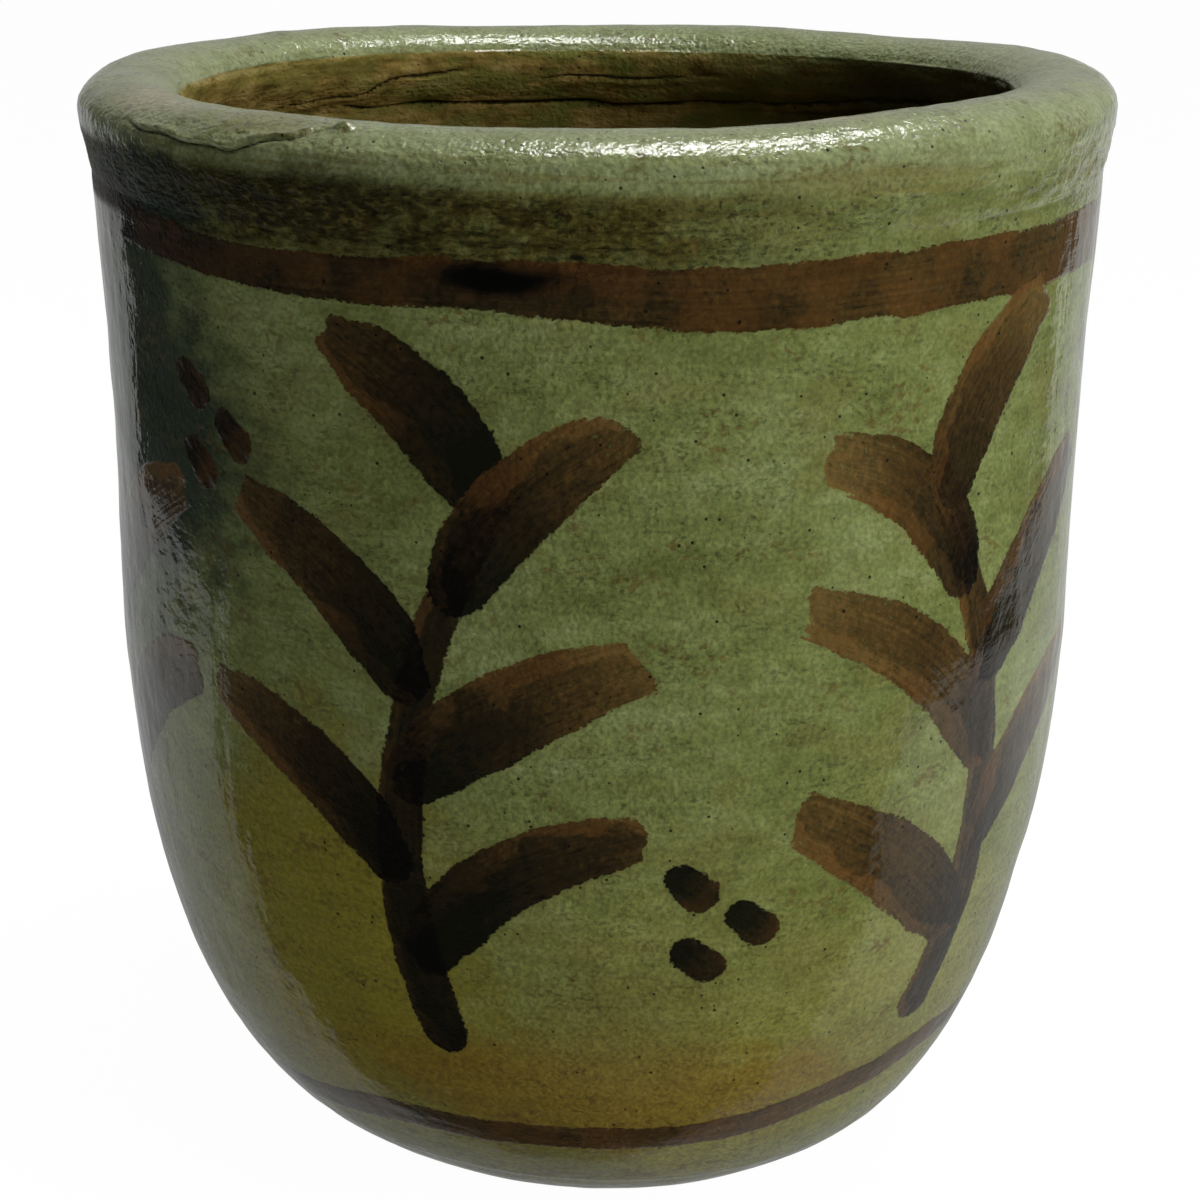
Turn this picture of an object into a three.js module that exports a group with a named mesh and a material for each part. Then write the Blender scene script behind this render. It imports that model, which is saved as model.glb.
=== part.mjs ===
// A hand-made round stoneware flower pot, about 200 mm across its rim.
// Three clay members stand one on the other: a base slab with a drain hole, the wall, and
// a thick roll of clay laid on the wall as the lip. The joints between them are level.
// Millimetres, +Z up. The origin is the middle of the underside of the foot.

import * as THREE from 'three';

// Driving sizes
const potHeight = 216;
const rimRadius = 100; // outside of the lip, the widest place of the pot
const rimOverhang = 2; // the lip stands out this far past the top of the wall
const lipWidth = 19.5; // lip, from its outside to its inside
const lipRise = 6; // crest of the lip above its widest level
const lipDepth = 18; // crest of the lip down to its seam on the wall
const wallFlare = 1.6; // the upright wall leans out this far up to the seam
const wallThickness = 10;
const bowlHeight = 118; // level at which the bowl has turned into the upright wall
const bowlSquareness = 2.18; // 2 makes the bowl's outline a quarter ellipse, more makes it fuller
const footRadius = 47;
const heelThickness = 4; // the inner bowl starts this far inside the foot's edge
const slabThickness = 10;
const floorDip = 3; // the inner bowl would reach this far under the slab's top
const drainRadius = 11;

// Fineness of the faceted surfaces
const facetsRound = 72;
const stepsPerCurve = 5;
const stepsInBowl = 10;

// Radii and levels that follow from the driving sizes
const neckRadius = rimRadius - rimOverhang;
const neckInnerRadius = neckRadius - wallThickness;
const bowlRadius = neckRadius - wallFlare;
const bowlInnerRadius = bowlRadius - wallThickness;
const innerFootRadius = footRadius - heelThickness;
const seamLevel = potHeight - lipDepth;
const lipLevel = potHeight - lipRise;
const lipInnerRadius = rimRadius - lipWidth;

// The bowl is a quarter of a superellipse, outside and inside. Each is centred at bowlHeight.
const outerBowl = {
  centre: footRadius,
  across: bowlRadius - footRadius,
  down: bowlHeight,
};
const innerBowl = {
  centre: innerFootRadius,
  across: bowlInnerRadius - innerFootRadius,
  down: bowlHeight - slabThickness + floorDip,
};

const clayGreen = new THREE.MeshStandardMaterial({
  name: 'sage_glaze',
  color: 0x66714f,
  roughness: 0.3,
  metalness: 0,
});

// Point of a bowl's outline at an angle of 0 at its lowest place and a quarter turn at its widest
function bowlPoint(bowl, angle) {
  const power = 2 / bowlSquareness;
  return new THREE.Vector2(
    bowl.centre + bowl.across * Math.sin(angle) ** power,
    bowlHeight - bowl.down * Math.cos(angle) ** power,
  );
}

// The angle whose point lies at a given level
function bowlAngle(bowl, level) {
  return Math.acos(((bowlHeight - level) / bowl.down) ** (bowlSquareness / 2));
}

// Follows a bowl's outline between two levels, upwards for the outside, downwards for the inside
function followBowl(outline, bowl, fromLevel, toLevel) {
  const start = bowlAngle(bowl, fromLevel);
  const end = bowlAngle(bowl, toLevel);
  for (let step = 0; step <= stepsInBowl; step += 1) {
    const point = bowlPoint(bowl, THREE.MathUtils.lerp(start, end, step / stepsInBowl));
    outline.lineTo(point.x, point.y);
  }
}

// Turns a closed outline of radius and level round the pot's axis
function turned(name, outline) {
  outline.closePath();
  const geometry = new THREE.LatheGeometry(outline.getPoints(stepsPerCurve), facetsRound);
  geometry.rotateX(Math.PI / 2);
  const mesh = new THREE.Mesh(geometry, clayGreen);
  mesh.name = name;
  return mesh;
}

// The base slab: a disc whose edge carries the start of the bowl's curve
function floorSlab() {
  const outline = new THREE.Path();
  outline.moveTo(drainRadius, 0);
  followBowl(outline, outerBowl, 0, slabThickness);
  outline.lineTo(drainRadius, slabThickness);
  return turned('floor_slab', outline);
}

// The wall: the bowl and, above it, the upright part that leans out towards the lip
function wall() {
  const upright = seamLevel - bowlHeight;
  const outline = new THREE.Path();
  const start = bowlPoint(outerBowl, bowlAngle(outerBowl, slabThickness));
  outline.moveTo(start.x, start.y);
  followBowl(outline, outerBowl, slabThickness, bowlHeight);
  outline.quadraticCurveTo(bowlRadius, bowlHeight + upright / 2, neckRadius, seamLevel);
  outline.lineTo(neckInnerRadius, seamLevel);
  outline.quadraticCurveTo(bowlInnerRadius, bowlHeight + upright / 2, bowlInnerRadius, bowlHeight);
  followBowl(outline, innerBowl, bowlHeight, slabThickness);
  return turned('wall', outline);
}

// The lip: a broad roll, elliptical on top, flush with both faces of the wall at the seam
function rimCoil() {
  const middleRadius = (rimRadius + lipInnerRadius) / 2;
  const middleLevel = (seamLevel + lipLevel) / 2;
  const outline = new THREE.Path();
  outline.moveTo(neckRadius, seamLevel);
  outline.quadraticCurveTo(rimRadius, middleLevel, rimRadius, lipLevel);
  outline.absellipse(middleRadius, lipLevel, lipWidth / 2, lipRise, 0, Math.PI, false);
  outline.quadraticCurveTo(lipInnerRadius, middleLevel, neckInnerRadius, seamLevel);
  return turned('rim_coil', outline);
}

const pot = new THREE.Group();
pot.add(floorSlab());
pot.add(wall());
pot.add(rimCoil());

export default pot;
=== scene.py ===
"""Looks of a hand-made round flower pot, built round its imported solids.

The pot is coil-built earthenware, smoothed by hand, painted sage green with brown
brushwork, and varnished. Sizes inside the classes are millimetres, and the meshes are in
metres. An angle is turned round the pot's axis from +X towards +Y, in degrees where a
brush or a blemish is placed, and the camera looks from -Y, so the front is at -90.
"""

import logging
import math
from dataclasses import dataclass
from enum import Enum

import bpy
import numpy as np
from mathutils import Matrix, Vector


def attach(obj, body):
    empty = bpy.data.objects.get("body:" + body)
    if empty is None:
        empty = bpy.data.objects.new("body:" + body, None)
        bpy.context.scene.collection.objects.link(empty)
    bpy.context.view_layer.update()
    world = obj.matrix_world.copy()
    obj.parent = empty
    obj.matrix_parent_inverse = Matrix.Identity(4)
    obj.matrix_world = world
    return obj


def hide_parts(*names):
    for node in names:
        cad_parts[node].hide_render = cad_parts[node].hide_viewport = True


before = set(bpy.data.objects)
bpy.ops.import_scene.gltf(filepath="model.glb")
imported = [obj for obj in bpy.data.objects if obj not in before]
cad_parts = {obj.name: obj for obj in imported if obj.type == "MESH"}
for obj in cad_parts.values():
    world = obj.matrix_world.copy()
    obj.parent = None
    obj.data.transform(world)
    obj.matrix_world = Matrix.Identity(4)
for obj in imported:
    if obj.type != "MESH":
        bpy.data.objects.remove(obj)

Pair = tuple[float, float]
Triple = tuple[float, float, float]
Array = np.ndarray

MM = 0.001
# The bristle marks of one stroke start this many millimetres after those of the last
STROKE_STEP = 310
# How far inside a stroke's edge a point counts as lying where there is no stroke
UNPAINTED = -8
# Length and spacing of the brush's bristle marks
BRISTLE_RUN = 30
BRISTLE_GAP = 0.7
log = logging.getLogger("flower_pot")


class Layer(Enum):
    """The order in which paint went on. Strokes of one layer stay clear of each other."""

    BANDS = "paint_bands"
    STEMS = "paint_stems"
    LEFT_LEAVES = "paint_left_leaves"
    RIGHT_LEAVES = "paint_right_leaves"


class Zone(Enum):
    """Which skin a stretch of an outline carries."""

    OUTSIDE = "outside"
    INSIDE = "inside"
    BARE = "bare"


def linear(colour: str) -> tuple[float, float, float, float]:
    """Turns an sRGB hex colour to linear light.

    Args:
        colour: Six hex digits after a hash sign.

    Returns:
        Red, green, blue and an alpha of 1.
    """
    parts = [int(colour[i : i + 2], 16) / 255 for i in (1, 3, 5)]
    lit = [p / 12.92 if p <= 0.04045 else ((p + 0.055) / 1.055) ** 2.4 for p in parts]
    return (lit[0], lit[1], lit[2], 1.0)


def ease(low: float, high: float, value: Array) -> Array:
    """Rises smoothly from 0 to 1 between two values.

    Args:
        low: Where the rise starts.
        high: Where it ends. It may be the smaller one, for a fall.
        value: Values to ease.

    Returns:
        An array of 0 to 1.
    """
    share = np.clip((value - low) / (high - low), 0, 1)
    return share * share * (3 - 2 * share)


def ripple(place: Array, size: Triple, seed: int) -> Array:
    """A smooth random relief in space, from -1 to 1, the same on every run.

    Args:
        place: Points in millimetres, one row each.
        size: Width of its bumps along x, y and z in millimetres.
        seed: Picks one relief.

    Returns:
        Its value at each point.
    """
    grid = np.random.default_rng(seed).uniform(-1, 1, (32, 32, 32))
    cell = place / np.array(size) + 512.37
    corner = np.floor(cell).astype(int)
    part = cell - corner
    part = part * part * (3 - 2 * part)
    total = np.zeros(len(place))
    for step in np.ndindex(2, 2, 2):
        weight = np.prod(np.where(np.array(step) == 1, part, 1 - part), axis=1)
        index = (corner + np.array(step)) % 32
        total += weight * grid[index[:, 0], index[:, 1], index[:, 2]]
    return total


def hold(value: Array, limit: float, give: float) -> Array:
    """Bends back softly what passes a limit, so that it stays within some give of it."""
    return np.where(value > limit, limit + give * np.tanh((value - limit) / give), value)


def bell(value: Array, width: float) -> Array:
    """Falls smoothly from 1 at zero to almost nothing at twice a width."""
    return np.exp(-((value / width) ** 2))


def from_axis(place: Array) -> Array:
    """The distances of points from the pot's axis."""
    return np.hypot(*place[:, :2].T)


@dataclass(frozen=True)
class PotForm:
    """The pot's true turned form, from the same sizes as its solids."""

    height: float = 216.0
    rim_radius: float = 100.0
    rim_overhang: float = 2.0
    lip_width: float = 19.5
    lip_rise: float = 6.0
    lip_depth: float = 18.0
    wall_flare: float = 1.6
    wall_thickness: float = 10.0
    bowl_height: float = 118.0
    bowl_squareness: float = 2.18
    foot_radius: float = 47.0
    heel_thickness: float = 4.0
    slab_thickness: float = 10.0
    floor_dip: float = 3.0
    drain_radius: float = 11.0

    @property
    def neck(self) -> float:
        """Outer radius of the wall under the lip."""
        return self.rim_radius - self.rim_overhang

    @property
    def bowl(self) -> float:
        """Outer radius of the bowl at its widest."""
        return self.neck - self.wall_flare

    @property
    def seam(self) -> float:
        """Level of the joint between wall and lip."""
        return self.height - self.lip_depth

    @property
    def lip(self) -> float:
        """Level at which the lip is widest."""
        return self.height - self.lip_rise

    def bowl_side(self, low: float, high: float, count: int, inner: bool = False) -> list[Pair]:
        """Follows the bowl's outline upwards.

        Args:
            low: Level of the first point.
            high: Level of the last point.
            count: Number of points.
            inner: Takes the inside of the wall and not its outside.

        Returns:
            Pairs of radius and level.
        """
        centre = self.foot_radius - (self.heel_thickness if inner else 0)
        across = self.bowl - (self.wall_thickness if inner else 0) - centre
        down = self.bowl_height - (self.slab_thickness - self.floor_dip if inner else 0)
        power = 2 / self.bowl_squareness
        first, last = (math.acos(((self.bowl_height - z) / down) ** (1 / power)) for z in (low, high))
        turns = np.linspace(first, last, count)
        return [
            (centre + across * math.sin(t) ** power, self.bowl_height - down * max(math.cos(t), 0) ** power)
            for t in turns
        ]

    def upright_side(self, count: int, inner: bool = False) -> list[Pair]:
        """Follows the upright part of the wall from the bowl to the seam.

        Args:
            count: Number of points.
            inner: Takes the inside of the wall and not its outside.

        Returns:
            Pairs of radius and level, without the first point.
        """
        thick = self.wall_thickness if inner else 0
        bend = (self.bowl - thick, (self.bowl_height + self.seam) / 2)
        return bow((self.bowl - thick, self.bowl_height), bend, (self.neck - thick, self.seam), count)[1:]

    def lip_radius(self, level: float, inner: bool) -> float:
        """Finds how far from the axis the lip's face is.

        Args:
            level: A level between the seam and the crest, or just below the seam.
            inner: Takes the lip's inner face and not its outer one.

        Returns:
            The radius.
        """
        if level > self.lip:
            half = self.lip_width / 2
            across = half * math.sqrt(1 - ((level - self.lip) / self.lip_rise) ** 2)
            return self.rim_radius - half + (-across if inner else across)
        share = min((self.lip - level) / (self.lip - self.seam), 1) ** 2
        if inner:
            inset = self.lip_width - self.rim_overhang - self.wall_thickness
            return self.rim_radius - self.lip_width + inset * share
        return self.rim_radius - self.rim_overhang * share

    def lip_side(self, side: int, crest: int) -> list[Pair]:
        """Follows the lip from the outer edge of the seam over its crest to the inner edge.

        Args:
            side: Number of points on each face of the lip.
            crest: Number of points over its top.

        Returns:
            Pairs of radius and level.
        """
        inside = self.rim_radius - self.lip_width
        middle = (self.seam + self.lip) / 2
        path = bow((self.neck, self.seam), (self.rim_radius, middle), (self.rim_radius, self.lip), side)
        for turn in np.linspace(0, math.pi, crest + 2)[1:-1]:
            across = (1 + math.cos(turn)) / 2
            path.append((inside + self.lip_width * across, self.lip + self.lip_rise * math.sin(turn)))
        under = (self.neck - self.wall_thickness, self.seam)
        return path + bow((inside, self.lip), (inside, middle), under, side)


def bow(start: Pair, pull: Pair, end: Pair, count: int) -> list[Pair]:
    """Draws a bowed line.

    Args:
        start: First point.
        pull: Point that the line bends towards.
        end: Last point.
        count: Number of points.

    Returns:
        The points on the line.
    """
    shares = np.linspace(0, 1, count)
    return [
        tuple(float((1 - u) ** 2 * a + 2 * u * (1 - u) * b + u * u * c) for a, b, c in zip(start, pull, end))
        for u in shares
    ]


@dataclass(frozen=True)
class Stretch:
    """A run of a closed outline: its points, the skin it carries and its share of the bake map."""

    points: list[Pair]
    zone: Zone
    fineness: float


class Outline:
    """The closed outline of a turned piece, as the pot's solids have it."""

    def __init__(self, stretches: list[Stretch], corners: list[Pair]) -> None:
        """Joins stretches that follow one another round the outline.

        Args:
            stretches: Each ends where the next one starts.
            corners: The points at which the clay has an edge.
        """
        self.corners = corners
        self.rings: list[Pair] = []
        self.zones: list[Zone] = []
        self.fineness: list[float] = []
        for stretch in stretches:
            for point in stretch.points[:-1]:
                self.rings.append(point)
                self.zones.append(stretch.zone)
                self.fineness.append(stretch.fineness)

    def nearest(self, radius: Array, level: Array) -> tuple[Array, Array]:
        """Finds where points lie along the outline.

        Args:
            radius: Their distances from the axis.
            level: Their levels.

        Returns:
            The segment that each is nearest to, and how far along it, from 0 to 1.
        """
        start = np.array(self.rings)
        leg = np.roll(start, -1, axis=0) - start
        length = (leg**2).sum(1)
        best = np.full(len(radius), np.inf)
        segment = np.zeros(len(radius), int)
        share = np.zeros(len(radius))
        for index in range(len(start)):
            away_r = radius - start[index, 0]
            away_z = level - start[index, 1]
            along = np.clip((away_r * leg[index, 0] + away_z * leg[index, 1]) / length[index], 0, 1)
            gap = (away_r - along * leg[index, 0]) ** 2 + (away_z - along * leg[index, 1]) ** 2
            closer = gap < best
            best[closer] = gap[closer]
            segment[closer] = index
            share[closer] = along[closer]
        return segment, share


@dataclass(frozen=True)
class Waves:
    """Random bumps in the clay: their height, their size along x, y and z, and which ones."""

    height: float
    size: Triple
    seed: int

    def over(self, place: Array) -> Array:
        """How far they stand proud at points in millimetres."""
        return self.height * ripple(place, self.size, self.seed)


@dataclass(frozen=True)
class HandForming:
    """How far the real pot departs from the true form, as built and smoothed by hand.

    A limit is a pair: where it starts to hold, and the give beyond.
    """

    settled: float = 2.4
    settling_levels: Pair = (118, 198)
    belly: float = 120.0
    belly_to_lip: float = 86.5
    high_right: float = 1.54
    high_back: float = 0.1
    saddle: float = 0.71
    saddle_turned: float = -0.4
    oval_foot: float = -0.89
    oval_foot_turned: float = -2.6
    oval_rim: float = -0.26
    drawn_in_rim: float = 0.3
    rim_aside: float = 0.128
    foot_aside: float = 0.22
    bowl_height: float = 118.0
    width_limit: Pair = (99.4, 0.56)
    height_limit: Pair = (215.2, 0.75)
    # Strokes of the palm, and of a rib pulled upwards
    wall_waves: tuple[Waves, ...] = (
        Waves(0.42, (34, 34, 22), 3),
        Waves(0.12, (13, 13, 8), 4),
        Waves(0.07, (3.2, 3.2, 24), 5),
        Waves(0.04, (5, 5, 3), 6),
    )
    # The thumb's presses on the lip
    lip_levels: Pair = (196, 204)
    lip_waves: tuple[Waves, ...] = (Waves(0.30, (24, 24, 30), 7), Waves(0.10, (7, 7, 3.2), 8))
    # The tuck where the lip was smoothed down onto the wall, and its rough clay, less at the left
    tuck_level: float = 203.0
    tuck_height: float = 3.4
    tuck_depth: float = 0.42
    tuck_wander: Waves = Waves(1.2, (40, 40, 40), 9)
    tuck_waves: Waves = Waves(0.2, (30, 30, 12), 10)
    rough_level: float = 202.5
    rough_height: float = 5.0
    rough_waves: tuple[Waves, ...] = (Waves(0.24, (2.4, 2.4, 1.5), 11), Waves(0.2, (7, 7, 2), 15))
    # Rough clay beside the lap at the left of the lip, at an angle, a radius and a level
    lap_middle: Triple = (-129, 97, 212.5)
    lap_size: Triple = (17, 17, 4.5)
    lap_waves: tuple[Waves, ...] = (Waves(0.28, (1.8, 1.8, 1.6), 16), Waves(0.14, (4, 4, 3), 17))
    # Inside, the roll was left lumpy and half smoothed
    inner_waves: tuple[Waves, ...] = (Waves(0.66, (17, 17, 5), 13), Waves(0.38, (6, 6, 2.6), 12))

    def shape(self, place: Array, zone_inside: Array, normal: Array) -> Array:
        """Moves points of the true form to where the hands left them.

        Args:
            place: Points of the true form in millimetres.
            zone_inside: 1 inside the pot and 0 outside it.
            normal: Outward normal of each point.

        Returns:
            The moved points.
        """
        angle = np.arctan2(place[:, 1], place[:, 0])
        radius = from_axis(place)
        level = place[:, 2] - self.settled * ease(*self.settling_levels, place[:, 2])
        high = np.clip((level - self.belly) / self.belly_to_lip, 0, 1.1)
        lift = self.high_right * np.cos(angle) + self.high_back * np.sin(angle)
        lift += self.saddle * np.cos(2 * angle) + self.saddle_turned * np.sin(2 * angle)
        spread = (self.oval_rim * np.cos(2 * angle) - self.drawn_in_rim) * high
        oval = self.oval_foot * np.cos(2 * angle) + self.oval_foot_turned * np.sin(2 * angle)
        spread += oval * (1 - high) * ease(12, 40, radius)
        level = level + lift * high
        radius = radius + spread
        shift = self.rim_aside * high
        shift -= self.foot_aside * np.clip(1 - level / self.bowl_height, 0, 1)
        moved = np.stack([radius * np.cos(angle) + shift, radius * np.sin(angle), level], 1)
        moved += normal * self.relief(place, zone_inside)[:, None]
        reach = from_axis(moved)
        moved[:, :2] *= (hold(reach, *self.width_limit) / np.maximum(reach, 1))[:, None]
        moved[:, 2] = np.maximum(hold(moved[:, 2], *self.height_limit), 0)
        return moved

    def relief(self, place: Array, inside: Array) -> Array:
        """How far the surface stands proud of the true form.

        Args:
            place: Points of the true form in millimetres.
            inside: 1 inside the pot and 0 outside it.

        Returns:
            Millimetres along the normal.
        """
        level = place[:, 2]
        outside = 1 - inside
        tuck = bell(level - self.tuck_level - self.tuck_wander.over(place), self.tuck_height)
        rough = bell(level - self.rough_level, self.rough_height) * outside
        rough *= 0.35 + 0.65 * ease(-85, -50, place[:, 0])
        from_lap = (place - on_axis(*self.lap_middle)) / np.array(self.lap_size)
        near_lap = ease(1, 0.5, np.linalg.norm(from_lap, axis=1))
        proud = -outside * tuck * (self.tuck_depth + self.tuck_waves.over(place))
        for share, all_waves in (
            (1, self.wall_waves),
            (ease(*self.lip_levels, level), self.lip_waves),
            (rough, self.rough_waves),
            (near_lap, self.lap_waves),
            (inside, self.inner_waves),
        ):
            proud += share * sum(waves.over(place) for waves in all_waves)
        # The foot stays level
        return proud * ease(0.2, 6, level)


@dataclass(frozen=True)
class Seamline:
    """A fine open joint, crack or smear of clay near the lip, through angles and levels."""

    path: tuple[Pair, ...]
    width: float
    depth: float
    flap: float = 0.0
    inner: bool = False

    def carve(self, place: Array) -> Array:
        """How deep it cuts at each point.

        Args:
            place: Points of the true form in millimetres.

        Returns:
            Millimetres along the normal, with the flap that stands up along its upper side.
        """
        form = PotForm()
        points = [on_axis(angle, form.lip_radius(level, self.inner), level) for angle, level in self.path]
        line = bent_line(points, 16)
        gap, _, _, above = beside(place, line)
        ends = np.linalg.norm(place - line[0], axis=1), np.linalg.norm(place - line[-1], axis=1)
        fade = ease(0, 6, np.minimum(*ends) + self.width)
        cut = -self.depth * bell(gap, self.width) * (0.35 + 0.65 * fade)
        flap = self.flap * bell(above - 2.2 * self.width, 2.4 * self.width)
        return cut + flap * bell(gap, 6 * self.width) * fade


def on_axis(angle: float, radius: float, level: float) -> Array:
    """Turns an angle in degrees, a radius and a level to a point."""
    turn = math.radians(angle)
    return np.array([radius * math.cos(turn), radius * math.sin(turn), level])


def bent_line(points: list[Array], count: int) -> Array:
    """Draws a smooth line through points.

    Args:
        points: Two or more points.
        count: Number of points wanted for each leg.

    Returns:
        The points on the line, one row each.
    """
    knots = np.array([2 * points[0] - points[1], *points, 2 * points[-1] - points[-2]])
    line = []
    for a, b, c, d in zip(knots, knots[1:], knots[2:], knots[3:]):
        for u in np.linspace(0, 1, count, endpoint=False):
            squared = (2 * a - 5 * b + 4 * c - d) * u**2
            cubed = (3 * b - a - 3 * c + d) * u**3
            line.append(0.5 * (2 * b + (c - a) * u + squared + cubed))
    line.append(points[-1])
    return np.array(line)


def beside(place: Array, line: Array) -> tuple[Array, Array, Array, Array]:
    """Measures where points lie beside a line on the pot.

    Args:
        place: Points in millimetres.
        line: Points of the line.

    Returns:
        Their distance from the line, how far along it they are in millimetres and as a place
        in its list of points, and the distance with a sign, positive on its left.
    """
    leg = line[1:] - line[:-1]
    length = np.linalg.norm(leg, axis=1)
    run = np.concatenate([[0], np.cumsum(length)])
    gap = np.full(len(place), np.inf)
    along = np.zeros(len(place))
    index = np.zeros(len(place))
    side = np.zeros(len(place))
    for i in range(len(leg)):
        away = place - line[i]
        share = np.clip(away @ leg[i] / length[i] ** 2, 0, 1)
        off = away - share[:, None] * leg[i]
        reach = np.sqrt((off**2).sum(1))
        closer = reach < gap
        outward = np.array([line[i][0], line[i][1], 0]) / max(np.hypot(line[i][0], line[i][1]), 1e-6)
        left = np.cross(outward, leg[i] / length[i])
        gap[closer] = reach[closer]
        along[closer] = (run[i] + share * length[i])[closer]
        index[closer] = (i + share)[closer]
        side[closer] = np.where(off @ left >= 0, reach, -reach)[closer]
    return gap, along, index, side


@dataclass(frozen=True)
class BrushStroke:
    """One stroke of the painter's brush on the wall.

    The path holds angles in degrees and levels, the widths are half widths along it and the
    load is how much paint the brush holds at its start and at its end, from 0 to 1.
    """

    layer: Layer
    path: tuple[Pair, ...]
    widths: tuple[float, ...]
    load: Pair

    def lay(self, place: Array, surface: "WallMap", number: int) -> tuple[Array, Array]:
        """Works out the stroke's own coordinates over the wall.

        Args:
            place: Points of the wall's outside in millimetres.
            surface: Turns an angle and a level to a point of the wall.
            number: Tells this stroke's bristle marks from another's.

        Returns:
            For each point: millimetres along, millimetres across, millimetres inside the
            edge and paint load; and which points are near enough to count.
        """
        line = bent_line([surface.point(angle, level) for angle, level in self.path], 10)
        reach = max(self.widths) + 9
        low, high = line.min(0) - reach, line.max(0) + reach
        near = np.all((place > low) & (place < high), axis=1)
        gap, along, index, side = beside(place[near], line)
        share = index / (len(line) - 1)
        half = np.interp(share, np.linspace(0, 1, len(self.widths)), self.widths)
        load = self.load[0] + (self.load[1] - self.load[0]) * share
        inside = half - gap
        if np.linalg.norm(line[-1] - line[0]) > 2 * max(self.widths):
            # A drawn stroke ends bluntly, with the bristles split into a few lobes
            away = place[near] - line[-1]
            past = away @ ((line[-1] - line[-2]) / np.linalg.norm(line[-1] - line[-2]))
            across = np.sqrt(np.maximum((away**2).sum(1) - past**2, 0))
            lobes = np.random.default_rng(number).uniform(0.15, 0.75, 5) - np.array([0.1, 0, 0, 0, 0.1])
            long = half * np.interp(np.sign(side) * across / half, np.linspace(-1, 1, 5), lobes)
            blunt = np.minimum(half - np.where(past > 0, across, gap), long - past)
            inside = np.where(share > 0.85, blunt, inside)
        return np.stack([along + STROKE_STEP * number, side, inside, load], 1), near


class WallMap:
    """The wall's outside, unrolled: it gives a point for an angle and a length up the wall."""

    def __init__(self, form: PotForm) -> None:
        """Measures the wall from its foot to its seam.

        Args:
            form: The pot's true form.
        """
        side = form.bowl_side(0.4, form.bowl_height, 60) + form.upright_side(30)
        self.side = np.array(side)
        steps = np.linalg.norm(np.diff(self.side, axis=0), axis=1)
        self.climb = np.concatenate([[0], np.cumsum(steps)])
        self.climb += form.seam - self.climb[-1]

    def point(self, angle: float, level: float) -> Array:
        """The point of the wall at an angle in degrees and a level."""
        radius = float(np.interp(level, self.side[:, 1], self.side[:, 0]))
        return on_axis(angle, radius, level)

    def unroll(self, angle: float, across: float, climb: float) -> Pair:
        """Finds a place by its distances along the surface.

        Args:
            angle: Angle in degrees from which across is counted.
            across: Millimetres round the wall, positive to the right as seen from outside.
            climb: Millimetres up the wall, which is the level on its upright part.

        Returns:
            The angle in degrees and the level.
        """
        level = float(np.interp(climb, self.climb, self.side[:, 1]))
        radius = float(np.interp(climb, self.climb, self.side[:, 0]))
        return angle + math.degrees(across / radius), level


@dataclass(frozen=True)
class LeafSpray:
    """A painted sprig: a bowed stem and pressed-brush leaves on either side of it."""

    angle: float
    foot: float
    top: float
    lean: float
    bend: float
    leaves: int
    leaf_length: float
    leaf_width: float
    first_side: int
    load: float

    def strokes(self, surface: WallMap, seed: int) -> list[BrushStroke]:
        """Paints the sprig.

        Args:
            surface: The unrolled wall.
            seed: Varies one sprig from the next.

        Returns:
            Its strokes, in the order of painting.
        """
        vary = np.random.default_rng(seed)
        stem = bow((0, self.foot), (self.bend, (self.foot + self.top) / 2), (self.lean, self.top), 9)
        path = tuple(surface.unroll(self.angle, x, y) for x, y in stem)
        made = [BrushStroke(Layer.STEMS, path, (4.6, 5.0, 4.4, 4.0, 3.6, 2.8), (self.load, self.load * 0.6))]
        for index in range(self.leaves):
            share = 0.15 + 0.8 * index / (self.leaves - 1)
            side = self.first_side * (-1) ** index
            spot = np.array(stem[0]) * (1 - share) ** 2 + np.array(stem[-1]) * share**2
            spot += 2 * share * (1 - share) * np.array([self.bend, (self.foot + self.top) / 2])
            rise = math.radians(vary.uniform(20, 36) + 22 * share)
            length = self.leaf_length * vary.uniform(0.88, 1.1) * (1 - 0.25 * abs(share - 0.4))
            out = np.array([side * math.cos(rise), math.sin(rise)])
            droop = np.array([-out[1], out[0]]) * side * vary.uniform(2, 5.5)
            start = spot + out * 3
            middle = spot + out * length * 0.5 + droop
            end = spot + out * length
            half = self.leaf_width / 2 * vary.uniform(0.9, 1.08)
            leaf = tuple(surface.unroll(self.angle, *point) for point in bow(start, middle + droop, end, 7))
            layer = Layer.RIGHT_LEAVES if side > 0 else Layer.LEFT_LEAVES
            tip = vary.uniform(0.5, 0.72)
            widths = (half * 0.7, half * 0.95, half, half * 0.98, half * 0.95, half * 0.86, half * tip)
            held = self.load * vary.uniform(0.9, 1.2)
            made.append(BrushStroke(layer, leaf, widths, (held, held * vary.uniform(0.25, 0.75) - 0.1)))
        return made


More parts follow.
